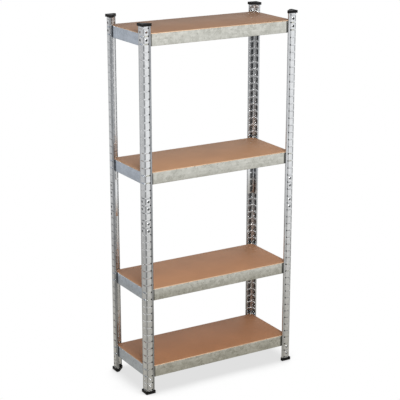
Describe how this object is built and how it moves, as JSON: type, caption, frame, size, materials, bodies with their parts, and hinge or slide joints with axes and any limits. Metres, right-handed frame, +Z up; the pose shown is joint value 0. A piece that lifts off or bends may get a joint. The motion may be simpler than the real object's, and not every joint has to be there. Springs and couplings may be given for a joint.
{
  "type": "boltless shelving unit",
  "caption": "Tall open shelving unit of slotted galvanised L-posts, hook-in sheet beams and loose MDF boards, with black plastic caps and feet.",
  "frame": {"origin": "on the floor, under the middle of the unit", "axes": "+Z up along the posts, +X to the right along the shelves, front towards -Y"},
  "size_m": [0.7042, 0.3042, 1.5055],
  "materials": {
    "post_steel": "galvanised, satin",
    "beam_steel": "galvanised with spangle, satin",
    "connector_steel": "galvanised, satin",
    "board_mdf": "smooth raw MDF",
    "black_plastic": "moulded, matt"
  },
  "bodies": {
    "root": {"foot_front_left": "black_plastic", "lower_post_front_left": "post_steel", "post_connector_front_left": "connector_steel", "upper_post_front_left": "post_steel", "top_cap_front_left": "black_plastic", "foot_front_right": "black_plastic", "lower_post_front_right": "post_steel", "post_connector_front_right": "connector_steel", "upper_post_front_right": "post_steel", "top_cap_front_right": "black_plastic", "foot_rear_right": "black_plastic", "lower_post_rear_right": "post_steel", "post_connector_rear_right": "connector_steel", "upper_post_rear_right": "post_steel", "top_cap_rear_right": "black_plastic", "foot_rear_left": "black_plastic", "lower_post_rear_left": "post_steel", "post_connector_rear_left": "connector_steel", "upper_post_rear_left": "post_steel", "top_cap_rear_left": "black_plastic", "shelf_1_front_beam": "beam_steel", "shelf_1_right_beam": "beam_steel", "shelf_1_rear_beam": "beam_steel", "shelf_1_left_beam": "beam_steel", "shelf_1_board": "board_mdf", "shelf_2_front_beam": "beam_steel", "shelf_2_right_beam": "beam_steel", "shelf_2_rear_beam": "beam_steel", "shelf_2_left_beam": "beam_steel", "shelf_2_board": "board_mdf", "shelf_3_front_beam": "beam_steel", "shelf_3_right_beam": "beam_steel", "shelf_3_rear_beam": "beam_steel", "shelf_3_left_beam": "beam_steel", "shelf_3_board": "board_mdf", "shelf_4_front_beam": "beam_steel", "shelf_4_right_beam": "beam_steel", "shelf_4_rear_beam": "beam_steel", "shelf_4_left_beam": "beam_steel", "shelf_4_board": "board_mdf"}
  },
  "joints": []
}
